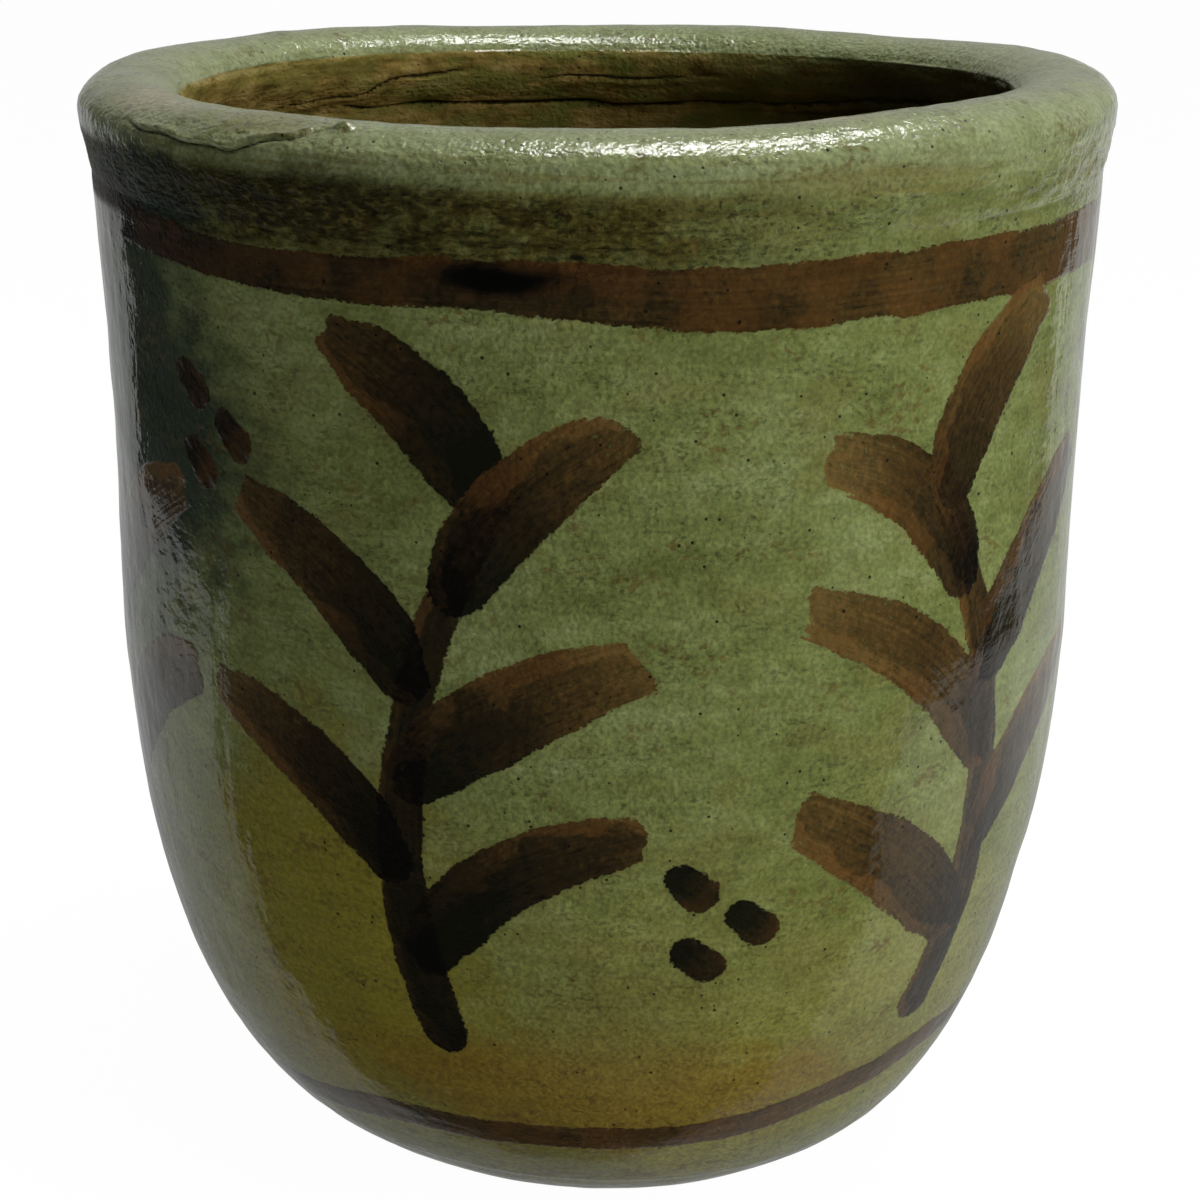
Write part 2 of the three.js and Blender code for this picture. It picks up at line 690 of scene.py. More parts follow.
@dataclass(frozen=True)
class Brushwork:
    """All that is painted in brown on the wall: two bands, sprigs between them and seeds."""

    upper_band: tuple[Pair, ...] = (
        (-270, 190), (-245, 191), (-220, 189.6), (-200, 191.4), (-180, 192.6), (-160, 193.4), (-143, 192.8),
        (-133, 191.8), (-126, 191), (-116, 191), (-104, 191.6), (-93, 190.8), (-80, 189.2), (-70, 189.1),
        (-59, 189.4), (-45, 189.4), (-30, 189.3), (-10, 188.8), (10, 190), (32, 189.2), (55, 190.8), (75, 189.4),
        (90, 190),
    )
    lower_band: tuple[Pair, ...] = (
        (-270, 29), (-240, 27), (-210, 24), (-180, 20), (-160, 18), (-140, 18.5), (-116, 24), (-92, 25.4),
        (-74, 25.8), (-60, 29), (-44, 33.5), (-36, 35), (-15, 35), (15, 33), (45, 31), (70, 30), (90, 29),
    )
    sprays: tuple[LeafSpray, ...] = (
        LeafSpray(-106, 48, 158, 14, -18, 6, 50, 15.5, 1, 0.95),
        LeafSpray(-46, 47, 156, -12, 17, 6, 49, 15, -1, 0.66),
        LeafSpray(14, 50, 160, 12, -14, 6, 50, 15, 1, 0.8),
        LeafSpray(74, 48, 156, -10, 15, 6, 49, 15.5, -1, 0.7),
        LeafSpray(134, 50, 159, 12, -16, 6, 50, 15, 1, 0.9),
        LeafSpray(-166, 48, 157, -12, 15, 6, 49, 15, -1, 0.75),
    )
    # Half widths from one end of a band to the other
    upper_widths: tuple[float, ...] = (
        5.2, 5.6, 5.0, 5.4, 4.2, 3.7, 3.6, 4.1, 4.5, 5.2, 5.5, 5.6, 5.5, 5.7, 5.8, 5.0, 4.6, 5.2,
    )
    lower_widths: tuple[float, ...] = (3.4, 3.9, 3.2, 3.8, 3.3, 3.6, 3.1, 3.7, 3.3)
    # Seeds between two sprays, by how far round and up the wall they lie
    high_seeds: tuple[Pair, ...] = ((-4, 168), (7, 160), (-3, 153))
    low_seeds: tuple[Pair, ...] = ((-6, 84), (5, 76), (-4, 69))

    def strokes(self, surface: WallMap) -> list[BrushStroke]:
        """Paints the bands, the sprigs and the seeds between them.

        Args:
            surface: The unrolled wall.

        Returns:
            All strokes.
        """
        made = [
            # The upper band starts at the back and runs round by the left; its load falls from 0.9 to 0.1, so it lies
            # thicker at the left and darker there, partly as painted shade
            BrushStroke(Layer.BANDS, self.upper_band, self.upper_widths, (0.9, 0.1)),
            BrushStroke(Layer.BANDS, self.lower_band, self.lower_widths, (0.4, 0.32)),
        ]
        for number, spray in enumerate(self.sprays):
            made += spray.strokes(surface, 40 + number)
            gap = spray.angle + 180 / len(self.sprays)
            for across, climb in self.high_seeds if number % 2 else self.low_seeds:
                spot = surface.unroll(gap, across, climb)
                tail = surface.unroll(gap, across + 3.5, climb - 3)
                made.append(BrushStroke(Layer.BANDS, (spot, tail), (3.2, 3.7), (spray.load, spray.load * 0.7)))
        return made


@dataclass(frozen=True)
class SagePaint:
    """Brushed sage-green paint: chalky mottling, level brush streaks, thin and dirty places, and colours for painted
    shade and painted bounce light.
    """

    dark: str = "#626b36"
    middle: str = "#768048"
    light: str = "#87915c"
    dusty: str = "#8f986c"
    # Olive of the tuck, darkened as painted shade under the lip
    olive: str = "#463f16"
    # Painted shade: the shadow under the lip and the shaded streaks in the tuck
    shade: str = "#2c290f"
    # Dark teal: partly the paint's own tint, partly painted shade
    teal_and_shade: str = "#1f2f29"
    # Yellow of thin paint, brightened as painted bounce light from the floor
    yellow_and_bounce_light: str = "#847920"
    ochre: str = "#7e6420"
    khaki: str = "#736c38"
    earthy: str = "#645128"
    buff: str = "#a99b78"
    dirt: str = "#17150b"


@dataclass(frozen=True)
class IronBrown:
    """Brown brush paint: near black where it lies thick, fox-brown where the brush ran dry."""

    black: str = "#040403"
    thick: str = "#0b0a06"
    full: str = "#2b1e0c"
    thin: str = "#4f3a19"
    dry: str = "#70542a"
    rust: str = "#5e3b18"


@dataclass(frozen=True)
class InsideWash:
    """The inside's thin brown wash over the clay, with streaks of the rag and of green paint, and painted shade for
    its right side.
    """

    dark: str = "#55461e"
    middle: str = "#907b40"
    light: str = "#b79f62"
    green: str = "#656e32"
    # Painted shade for the inside's right, which faces away from the key light
    inner_painted_shade: str = "#1d180a"


@dataclass(frozen=True)
class BareClay:
    """Fired earthenware left bare under the foot: matt, gritty, rubbed pale at its edge."""

    dark: str = "#7a5135"
    light: str = "#a97c58"


@dataclass(frozen=True)
class Stain:
    """A soft place on the pot with another tint: its middle, its half sizes and its strength."""

    angle: float
    radius: float
    level: float
    size: Triple
    strength: float
    tint: str


@dataclass(frozen=True)
class Weathering:
    """Places where the green paint went on thin, thick or dirty, and places of painted shade and painted bounce
    light.
    """

    stains: tuple[Stain, ...] = (
        # Dark teal at the left, on the wall and under the lip: a tint of the paint, and painted shade on the side
        # away from the key light
        Stain(-151, 95, 158, (47, 47, 60), 0.88, SagePaint.teal_and_shade),
        Stain(-147, 96, 196, (34, 34, 12), 0.8, SagePaint.teal_and_shade),
        # Yellow low at the left: thin paint, and painted bounce light where the key light doesn't reach
        Stain(-121, 92, 62, (38, 38, 60), 0.8, SagePaint.yellow_and_bounce_light),
        Stain(-88, 84, 36, (64, 64, 19), 0.75, SagePaint.ochre),
        # Painted shadow along the underside of the lip at the left of the front
        Stain(-122, 97, 199.5, (34, 34, 8), 0.8, SagePaint.shade),
        Stain(-84, 84, 52, (22, 22, 20), 0.45, SagePaint.khaki),
        Stain(-62, 96, 205, (30, 30, 4), 0.5, SagePaint.khaki),
        Stain(60, 90, 100, (40, 40, 50), 0.5, SagePaint.yellow_and_bounce_light),
        Stain(150, 94, 70, (34, 34, 50), 0.45, SagePaint.teal_and_shade),
        Stain(20, 96, 150, (30, 30, 34), 0.35, SagePaint.khaki),
        Stain(-74, 83, 212.5, (27, 5, 5), 0.85, SagePaint.buff),
        Stain(-147, 88, 212, (20, 20, 5), 0.5, SagePaint.buff),
        Stain(-126, 96, 212, (18, 18, 3.4), 0.6, SagePaint.khaki),
    )
    smudge: Stain = Stain(-99, 97.6, 189.2, (15, 15, 3.7), 1.0, IronBrown.black)


Link = bpy.types.NodeSocket | float | tuple | str


class NodeBoard:
    """The nodes of one material or world."""

    def __init__(self, owner: bpy.types.Material | bpy.types.World) -> None:
        """Clears the nodes of a material or world.

        Args:
            owner: The material or world.
        """
        owner.use_nodes = True
        self.tree = owner.node_tree
        self.tree.nodes.clear()

    def add(
        self,
        kind: str,
        links: dict[str | int, Link] | None = None,
        out: str | int = 0,
        stops: tuple[tuple[float, str], ...] = (),
        **settings: object,
    ) -> bpy.types.NodeSocket | None:
        """Adds a node with its settings and links.

        Args:
            kind: The node's type.
            links: For each input, by name or place, the socket, value or hex colour it takes.
            out: Which output is wanted.
            stops: Places and colours of a colour ramp.
            settings: The node's own settings.

        Returns:
            That output, if the node has any.
        """
        node = self.tree.nodes.new(f"ShaderNode{kind}")
        for name, value in settings.items():
            setattr(node, name, value)
        for key, value in (links or {}).items():
            if isinstance(value, bpy.types.NodeSocket):
                self.tree.links.new(value, node.inputs[key])
            else:
                node.inputs[key].default_value = linear(value) if isinstance(value, str) else value
        for number, (place, colour) in enumerate(stops):
            elements = node.color_ramp.elements
            if number >= len(elements):
                elements.new(1.0)
            elements[number].position = place
            elements[number].color = linear(colour)
        return node.outputs[out] if node.outputs else None

    def total(self, parts: list[tuple[Link, Link]], start: Link = 0.0) -> Link:
        """Adds up values, each by its weight.

        Args:
            parts: Pairs of value and weight.
            start: What they are added to.

        Returns:
            The total.
        """
        for value, weight in parts:
            start = self.add("Math", {0: value, 1: weight, 2: start}, operation="MULTIPLY_ADD")
        return start

    def where(self, *limits: tuple) -> Link:
        """Finds where several things hold together.

        Args:
            limits: For each, a value, the two places between which it is eased, and the results
                at these, which are 0 and 1 if they aren't given.

        Returns:
            The product of the eased values.
        """
        share: Link = 1.0
        for value, low, high, *ends in limits:
            start, end = ends or (0.0, 1.0)
            links = {"Value": value, "From Min": low, "From Max": high, "To Min": start, "To Max": end}
            share = self.total([(self.add("MapRange", links, interpolation_type="SMOOTHSTEP"), share)])
        return share

    def lay(self, colour: Link, coats: list[tuple[Link, Link]]) -> Link:
        """Lays coats of colour over one another.

        Args:
            colour: The lowest coat.
            coats: For each, how much of it shows and its colour.

        Returns:
            The colour that shows.
        """
        for share, tint in coats:
            colour = self.add("Mix", {0: share, 6: colour, 7: tint}, 2, data_type="RGBA")
        return colour


class PotSkin(NodeBoard):
    """Varnished, painted earthenware: the pot's whole surface.

    What it gives the eye is a chalky green and brown paint on gritty clay, under a clear,
    wet-looking varnish whose reflections break up over brush marks and pits.
    """

    def __init__(self, name: str, brushed: bool) -> None:
        """Makes the material.

        Args:
            name: The material's name.
            brushed: Whether the piece carries brushwork.
        """
        self.material = bpy.data.materials.new(name)
        super().__init__(self.material)
        coordinates = self.add("TexCoord", out="Object")
        self.place = self.add("VectorMath", {0: coordinates, 3: 1 / MM}, operation="SCALE")
        self.x, _, self.level = self.add("SeparateXYZ", {0: self.place}).node.outputs
        # Brush streaks, grit of the clay, dabs of the brush and places of thick and thin paint
        self.streaks = self.marks(14, 1.5, 3.0, 2.0)
        self.grain = self.marks(0.9, 0.8, 3.0, 3.0)
        self.cloud = self.marks(6, 4, 5.0, 4.0)
        self.mottle = self.marks(26, 20, 4.0, 1.0)
        self.dress(brushed)

    def marks(self, width: float, height: float, detail: float, seed: float) -> bpy.types.NodeSocket:
        """Random marks so many millimetres wide round the pot and high up it.

        Args:
            width: Width of the marks.
            height: Height of the marks.
            detail: How much finer structure they carry.
            seed: Tells one kind from another.

        Returns:
            Their strength, around 0.5.
        """
        links = {0: self.place, 1: (1 / width, 1 / width, 1 / height), 2: (seed, seed * 1.7, seed * 0.6)}
        scaled = self.add("VectorMath", links, operation="MULTIPLY_ADD")
        return self.add("TexNoise", {"Vector": scaled, "Scale": 1.0, "Detail": detail})

    def stain(self, stain: Stain) -> tuple[Link, str]:
        """Works out where a stain shows.

        Args:
            stain: Its place, size, strength and tint.

        Returns:
            How much of it shows, with a ragged edge, and its colour.
        """
        middle = tuple(on_axis(stain.angle, stain.radius, stain.level))
        away = self.add("VectorMath", {0: self.place, 1: middle}, operation="SUBTRACT")
        scaled = self.add("VectorMath", {0: away, 1: tuple(1 / s for s in stain.size)}, operation="MULTIPLY")
        reach = self.add("VectorMath", {0: scaled}, "Value", operation="LENGTH")
        frayed = self.total([(reach, 1.0), (self.cloud, 0.5), (self.mottle, 0.8)], -0.65)
        return self.where((frayed, 1.05, 0.4, 0.0, stain.strength)), stain.tint

    def ground(self) -> Link:
        """The green paint.

        Returns:
            Its colour.
        """
        sage = SagePaint()
        fine = self.marks(2.2, 1.9, 3.0, 19.0)
        mixed = self.total([(self.mottle, 0.45), (self.streaks, 0.1), (self.cloud, 0.35), (fine, 0.1)])
        stops = ((0.37, sage.dark), (0.5, sage.middle), (0.63, sage.light))
        colour = self.add("ValToRGB", {0: mixed}, stops=stops)
        blotches = self.marks(15, 9, 5.0, 6.0)
        # The tuck under the lip, strongest at the left of the front; its darkening is partly painted shade under the
        # lip
        self.tuck = self.where((self.level, 189, 193), (self.level, 206, 201), (self.x, 40, 0, 0.25, 1.0))
        # Crumbs and scars in the clay where the lip was wiped down, and flecks of dirt elsewhere
        patches = self.marks(11, 6, 3.0, 18.0)
        crowd = self.where((patches, 0.42, 0.6, 0.3, 1.0), (self.tuck, 0.0, 0.7, 0.55, 1.0))
        self.scars = self.where((self.marks(1.5, 0.8, 4.0, 20.0), 0.49, 0.68), (crowd, 0.0, 1.0))
        self.crumb = self.marks(2.0, 0.9, 4.0, 23.0)
        specks = self.marks(1.9, 1.4, 3.0, 21.0)
        wiped = self.marks(26, 1.3, 3.0, 22.0)
        shadows = self.marks(22, 1.7, 4.0, 25.0)
        on_side = (self.level, 197, 201), (self.level, 211, 207)
        in_tuck = (self.tuck, 0.0, 1.0)
        # Painted light on the tops of the crumbs in the tuck, less on the shaded left
        rubbed = (self.crumb, 0.52, 0.66, 0.0, 0.42), in_tuck, (self.x, -80, -50, 0.15, 1.0)
        coats = [
            # Yellower downwards, where the paint ran thin over the clay; its yellow is brightened as painted bounce
            # light from the floor
            (self.where((self.level, 120, 20, 0.0, 0.6), (self.mottle, 0.3, 0.65, 0.5, 1.0)), sage.yellow_and_bounce_light),
            (self.where((blotches, 0.5, 0.66, 0.0, 0.35)), sage.khaki),
            # Chalkier on the lip, where more paint lay, with level streaks of the cloth on its side
            (self.where((self.level, 201, 208), (self.cloud, 0.34, 0.62, 0.5, 0.95)), sage.dusty),
            (self.where((wiped, 0.48, 0.64, 0.0, 0.5), *on_side), sage.khaki),
            # Dark olive in the tuck: olive paint darkened as painted shade under the lip
            (self.where(in_tuck, (self.cloud, 0.4, 0.68, 0.95, 0.6)), sage.olive),
            *(self.stain(stain) for stain in Weathering().stains),
            (self.where((self.level, 22, 4), (self.cloud, 0.3, 0.65, 0.6, 0.1)), sage.earthy),
            # Reddish clay through the paint, in specks
            (self.where((specks, 0.5, 0.62, 0.0, 0.6), (blotches, 0.46, 0.34)), sage.earthy),
            # In the tuck, painted level shadows, and crumbs painted light on their tops and dark between them as
            # painted shade
            (self.where((shadows, 0.5, 0.62, 0.0, 0.6), in_tuck), sage.shade),
            (self.where(*rubbed), sage.khaki),
            (self.where((self.crumb, 0.47, 0.35, 0.0, 0.5), in_tuck), sage.dirt),
            (self.where((self.scars, 0.0, 1.0, 0.0, 0.55)), sage.dirt),
        ]
        # Grit of 0.8 mm, and paint of another batch that the brush dragged up
        shade = self.where((self.grain, 0.3, 0.7, 0.8, 1.16), (self.streaks, 0.3, 0.7, 0.95, 1.05))
        links = {0: 1.0, 6: self.lay(colour, coats), 7: shade}
        return self.add("Mix", links, 2, data_type="RGBA", blend_type="MULTIPLY")

    def brush(self, colour: Link) -> tuple[Link, Link]:
        """Paints the brushwork over the ground.

        Args:
            colour: The ground's colour.

        Returns:
            The painted colour, and the thickness of the paint in millimetres.
        """
        iron = IronBrown()
        height: Link = 0.0
        wobble = self.marks(9, 9, 2.0, 7.0)
        pools = self.marks(14, 14, 3.0, 8.0)
        specks = self.marks(1.3, 1.3, 2.0, 9.0)
        for number, layer in enumerate(Layer):
            stroke = self.add("Attribute", attribute_name=layer.value)
            along, across, inside = self.add("SeparateColor", {0: stroke}).node.outputs
            load = stroke.node.outputs["Alpha"]
            run = self.total([(along, 1 / BRISTLE_RUN)])
            spun_place = self.add("CombineXYZ", {0: run, 1: self.total([(across, 1 / BRISTLE_GAP)]), 2: 7.0 * number})
            bristles = self.add("TexNoise", {"Vector": spun_place, "Scale": 1.0, "Detail": 3.0})
            # Short dark drags where a bristle skipped over the grit
            dragged = self.add("VectorMath", {0: spun_place, 1: (11, 0.8, 1)}, operation="MULTIPLY")
            skips = self.add("TexNoise", {"Vector": dragged, "Scale": 1.0, "Detail": 2.0})
            drags = self.where((skips, 0.54, 0.7))
            dryness = self.where((load, 0.45, 0.0, 0.4, 2.8))
            fray = [(bristles, dryness), (dryness, -0.5), (self.grain, 1.8), (wobble, 2.0), (inside, 1.0)]
            edge = self.total(fray, -1.9)
            bare = self.where((specks, 0.6, 0.72, 0.0, 0.45), (load, 0.6, 0.1))
            covered = self.where((edge, -0.12, 0.2), (load, 0.0, 0.4, 0.84, 0.97), (bare, 0.0, 1.0, 1.0, 0.0))
            # A second, darker coat that missed one side of the first, or patches of it in the bands
            half = self.total([(self.add("Math", {0: across}, operation="ABSOLUTE"), 1.0), (inside, 1.0)])
            lean = self.add("Math", {0: across, 1: half}, operation="DIVIDE")
            sided = 0.25 if layer is Layer.BANDS else 1.0
            second = self.where((self.total([(lean, sided), (pools, 2.4), (bristles, 0.5)], -1.45), 0.56, 0.42))
            tones = [(bristles, 0.5), (pools, 0.6), (specks, 0.5), (self.grain, 0.4), (load, 1.0)]
            tone = self.total([*tones, (second, 0.24), (drags, 0.16)], -1.18)
            stops = ((0.02, iron.dry), (0.3, iron.thin), (0.62, iron.full), (0.98, iron.thick))
            paint = self.add("ValToRGB", {0: tone}, stops=stops)
            least, most = (0.35, 0.55) if layer is Layer.BANDS else (0.04, 0.42)
            rusty = self.where((second, 1.0, 0.0, least, most), (load, 0.95, 0.5), (wobble, 0.4, 0.58))
            colour = self.lay(colour, [(covered, self.lay(paint, [(rusty, iron.rust)]))])
            thick = self.total([(self.where((edge, -0.4, 0.6)), self.total([(bristles, 0.05)], 0.015))])
            height = self.add("Math", {0: thick, 1: height}, operation="MAXIMUM")
        return self.lay(colour, [self.stain(Weathering().smudge)]), height

    def pinholes(self) -> Link:
        """Finds the pinholes, up to 0.7 mm across, where bubbles broke through the clay.

        Returns:
            1 in a hole and 0 elsewhere.
        """
        away = self.add("TexVoronoi", {"Vector": self.place, "Scale": 1 / 2.2})
        chance = self.add("SeparateColor", {0: away.node.outputs["Color"]})
        patches = self.marks(16, 7, 2.0, 16.0)
        crowd = self.where((patches, 0.42, 0.66, 0.86, 0.5), (self.level, 185, 210, 1.0, 0.9))
        there = self.add("Math", {0: chance, 1: crowd}, operation="GREATER_THAN")
        width = self.total([(self.where((chance, 0.5, 1.0, 0.06, 0.17)), there)])
        return self.where((self.total([(away, -1.0), (width, 1.0), (self.grain, 0.1)], -0.06), 0.0, 0.03))

    def washed(self) -> Link:
        """The inside's brown wash.

        Returns:
            Its colour.
        """
        wash = InsideWash()
        rag = self.total([(self.streaks, 0.4), (self.cloud, 0.6)])
        stops = ((0.32, wash.dark), (0.5, wash.middle), (0.68, wash.light))
        colour = self.add("ValToRGB", {0: rag}, stops=stops)
        greener = self.where((self.marks(14, 6, 4.0, 17.0), 0.44, 0.58, 0.0, 0.75), (self.x, -80, 0, 0.4, 1.0))
        # Green paint ran over the lip's inner edge at the right
        spill = self.where((self.level, 194, 204), (self.x, -5, 45, 0.0, 0.8), (self.cloud, 0.3, 0.55))
        # Painted shade, darkest on the inside's right, away from the key light
        inner_painted_shade = self.where((self.total([(self.x, 1.0), (self.mottle, 50)], -25), 15, 70, 0.0, 0.8))
        return self.lay(colour, [(greener, wash.green), (spill, SagePaint.dark), (inner_painted_shade, wash.inner_painted_shade)])

    def dress(self, brushed: bool) -> None:
        """Joins paint, clay and varnish to the shader.

        Args:
            brushed: Whether the piece carries brushwork.
        """
        colour = self.ground()
        height: Link = 0.0
        if brushed:
            colour, height = self.brush(colour)
        zone = self.add("Attribute", attribute_name="zone")
        inside, bare, groove = self.add("SeparateColor", {0: zone}).node.outputs
        within = self.where((self.total([(inside, 1.0), (self.streaks, 0.5)], -0.25), 0.35, 0.65))
        stops = ((0.3, BareClay.dark), (0.7, BareClay.light))
        fired = self.add("ValToRGB", {0: self.marks(3, 3, 6.0, 11.0)}, stops=stops)
        rubbed = self.where((self.total([(bare, 1.0), (self.grain, 0.5)], -0.25), 0.4, 0.6))
        hole = self.pinholes()
        in_hole = self.where((hole, 0.0, 1.0, 0.0, 0.85))
        # Dirt in the open joints
        in_groove = self.where((self.total([(groove, 1.0), (self.grain, 0.8)], -0.4), 0.4, 0.8, 0.0, 0.9))
        dirt = SagePaint.dirt
        colour = self.lay(colour, [(within, self.washed()), (rubbed, fired), (in_hole, dirt), (in_groove, dirt)])
        # The clay's grit, dimples of 1.6 mm, dabs and streaks of the brush, and scars
        dimples = self.marks(1.6, 1.5, 1.0, 13.0)
        dabs = self.marks(4.0, 2.8, 3.0, 14.0)
        crumbs = self.total([(self.crumb, self.tuck)])
        bumps = [(dimples, 0.3), (self.grain, 0.18), (dabs, 0.22), (self.streaks, 0.06)]
        ground = self.total([*bumps, (hole, -0.3), (self.scars, -0.15), (crumbs, 0.7)])
        # The varnish levels most of it out, least of all on the lip, and lies in dabs and sags itself
        left = self.where((self.level, 191, 202, 0.05, 0.7))
        fine = self.total([(self.marks(0.6, 0.5, 2.0, 24.0), self.where((self.level, 203, 210)))])
        sags = self.marks(2.6, 16, 2.0, 12.0)
        film = self.total([(ground, left), (fine, 0.1), (dabs, 0.13), (sags, 0.09), (height, 1.0)])
        under = self.add("Bump", {"Strength": 1.0, "Distance": 1.5 * MM, "Height": ground})
        over = self.add("Bump", {"Strength": 1.0, "Distance": MM, "Height": film})
        # It was brushed only so far down inside as a hand reaches
        unreached = self.where((within, 0.0, 1.0), (self.level, 150, 60))
        shares = [(rubbed, 0.0, 1.0, 1.0, 0.0), (within, 0.0, 1.0, 1.0, 0.6), (unreached, 0.0, 1.0, 1.0, 0.0)]
        # In the crumbly tuck it sank into the clay, most of all at the left
        sunk = self.where((self.tuck, 0.0, 1.0), (self.x, -40, -65, 0.0, 1.0))
        varnish = self.where(*shares, (self.tuck, 0.0, 1.0, 1.0, 0.42), (sunk, 0.0, 1.0, 1.0, 0.35))
        links = {
            "Base Color": colour,
            "Roughness": self.where((rubbed, 0.0, 1.0, 0.55, 0.9), (self.cloud, 0.3, 0.7, 0.85, 1.1)),
            "Normal": under,
            "IOR": 1.5,
            "Specular IOR Level": 0.05,
            "Coat Weight": varnish,
            "Coat Roughness": 0.03,
            "Coat IOR": 1.5,
            "Coat Normal": over,
        }
        self.add("OutputMaterial", {0: self.add("BsdfPrincipled", links)})


class TurnedPiece:
    """A clay member turned round the pot's axis, then pressed out of true by hand."""

    def __init__(
        self, name: str, node: str, outline: Outline, segments: int, seamlines: tuple[Seamline, ...] = ()
    ) -> None:
        """Holds what the piece is made from.

        Args:
            name: The piece's name.
            node: The solid that it stands for.
            outline: Its closed outline.
            segments: Number of points round it before smoothing.
            seamlines: Fine joints and cracks in it.
        """
        self.name = name
        self.node = node
        self.outline = outline
        self.segments = segments
        self.seamlines = seamlines
        self.piece: bpy.types.Object | None = None

    def build(self, skin: bpy.types.Material, strokes: list[BrushStroke], surface: WallMap) -> bpy.types.Object:
        """Models, forms, paints and places the piece.

        Args:
            skin: Its material.
            strokes: The brushwork on it.
            surface: The unrolled wall.

        Returns:
            The finished object.
        """
        self.model()
        self.press(strokes, surface)
        self.piece.data.materials.append(skin)
        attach(self.piece, "root")
        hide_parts(self.node)
        log.info("%s: %d faces, stands for %s", self.name, len(self.piece.data.polygons), self.node)
        return self.piece

    def model(self) -> None:
        """Draws a ring up round the outline, closes it on itself and smooths it."""
        rings = self.outline.rings
        bpy.ops.object.select_all(action="DESELECT")
        bpy.ops.mesh.primitive_circle_add(
            vertices=self.segments, radius=rings[0][0] * MM, location=(0, 0, rings[0][1] * MM)
        )
        self.piece = bpy.context.object
        self.piece.name = self.piece.data.name = self.name
        bpy.ops.object.transform_apply(location=True, rotation=True, scale=True)
        bpy.ops.object.mode_set(mode="EDIT")
        bpy.ops.mesh.select_all(action="SELECT")
        for (radius, level), (next_radius, next_level) in zip(rings, rings[1:] + rings[:1]):
            rise = (0, 0, (next_level - level) * MM)
            bpy.ops.mesh.extrude_region_move(TRANSFORM_OT_translate={"value": rise})
            widen = next_radius / radius
            bpy.ops.transform.resize(value=(widen, widen, 1), center_override=(0, 0, 0))
        bpy.ops.mesh.select_all(action="SELECT")
        bpy.ops.mesh.remove_doubles(threshold=0.02 * MM)
        bpy.ops.mesh.normals_make_consistent(inside=False)
        bpy.ops.object.mode_set(mode="OBJECT")
        self.keep_corners()
        smooth = self.piece.modifiers.new("smooth", "SUBSURF")
        smooth.levels = smooth.render_levels = 2
        bpy.ops.object.modifier_apply(modifier=smooth.name)

    def keep_corners(self) -> None:
        """Creases the rings where two stretches of the outline meet, so that smoothing leaves them sharp."""
        mesh = self.piece.data
        place = np.array([v.co for v in mesh.vertices]) / MM
        radius = from_axis(place)
        at_corner = np.zeros(len(place), bool)
        for corner in self.outline.corners:
            at_corner |= np.hypot(radius - corner[0], place[:, 2] - corner[1]) < 0.05
        ends = np.array([e.vertices[:] for e in mesh.edges])
        level = np.abs(place[ends[:, 0], 2] - place[ends[:, 1], 2]) < 0.05
        width = np.abs(radius[ends[:, 0]] - radius[ends[:, 1]]) < 0.05
        sharp = at_corner[ends].all(1) & level & width
        crease = mesh.attributes.new("crease_edge", "FLOAT", "EDGE")
        crease.data.foreach_set("value", sharp.astype(np.float32))

    def press(self, strokes: list[BrushStroke], surface: WallMap) -> None:
        """Moves the clay out of true and records zones, strokes and the bake map.

        Args:
            strokes: The brushwork on the piece.
            surface: The unrolled wall.
        """
        mesh = self.piece.data
        count = len(mesh.vertices)
        place = np.zeros(count * 3)
        mesh.vertices.foreach_get("co", place)
        place = place.reshape(-1, 3) / MM
        angle = np.arctan2(place[:, 1], place[:, 0])
        segment, share = self.outline.nearest(from_axis(place), place[:, 2])
        start = np.array(self.outline.rings)
        end = np.roll(start, -1, axis=0)
        true = start[segment] * (1 - share[:, None]) + end[segment] * share[:, None]
        place = np.stack([true[:, 0] * np.cos(angle), true[:, 0] * np.sin(angle), true[:, 1]], 1)
        mesh.vertices.foreach_set("co", (place * MM).ravel())
        mesh.update()
        normal = np.zeros(count * 3)
        mesh.vertices.foreach_get("normal", normal)
        normal = normal.reshape(-1, 3)
        inside = np.array([float(zone is Zone.INSIDE) for zone in self.outline.zones])[segment]
        bare = np.array([float(zone is Zone.BARE) for zone in self.outline.zones])[segment]
        self.map_for_baking(segment, share, angle)
        self.record_strokes(strokes, surface, place, inside + bare < 0.5)
        outward = self.face_normal(place, normal)
        moved = HandForming().shape(place, inside, outward)
        groove = np.zeros(count)
        for line in self.seamlines:
            carved = line.carve(place)
            moved += outward * carved[:, None]
            groove = np.maximum(groove, np.clip(-carved / 0.7, 0, 1))
        zones = np.stack([inside, bare, groove, np.ones(count)], 1).astype(np.float32)
        mesh.attributes.new("zone", "FLOAT_COLOR", "POINT").data.foreach_set("color", zones.ravel())
        mesh.vertices.foreach_set("co", (moved * MM).ravel())
        mesh.update()
        bpy.ops.object.select_all(action="DESELECT")
        self.piece.select_set(True)
        bpy.context.view_layer.objects.active = self.piece
        bpy.ops.object.shade_smooth_by_angle(angle=math.radians(50))

    def face_normal(self, place: Array, normal: Array) -> Array:
        """Keeps the joints closed: at a joint both members move the same way, straight out.

        Args:
            place: Points of the true form in millimetres.
            normal: Their outward normals.

        Returns:
            The directions in which the relief stands proud.
        """
        joint = np.zeros(len(place), bool)
        for level in (PotForm().seam, PotForm().slab_thickness):
            joint |= np.abs(place[:, 2] - level) < 0.01
        outward = place * np.array([1, 1, 0]) / np.maximum(from_axis(place), 1)[:, None]
        inner = from_axis(place) < PotForm().neck - PotForm().wall_thickness / 2
        outward[inner & (place[:, 2] > 100)] *= -1
        return np.where(joint[:, None], outward, normal)

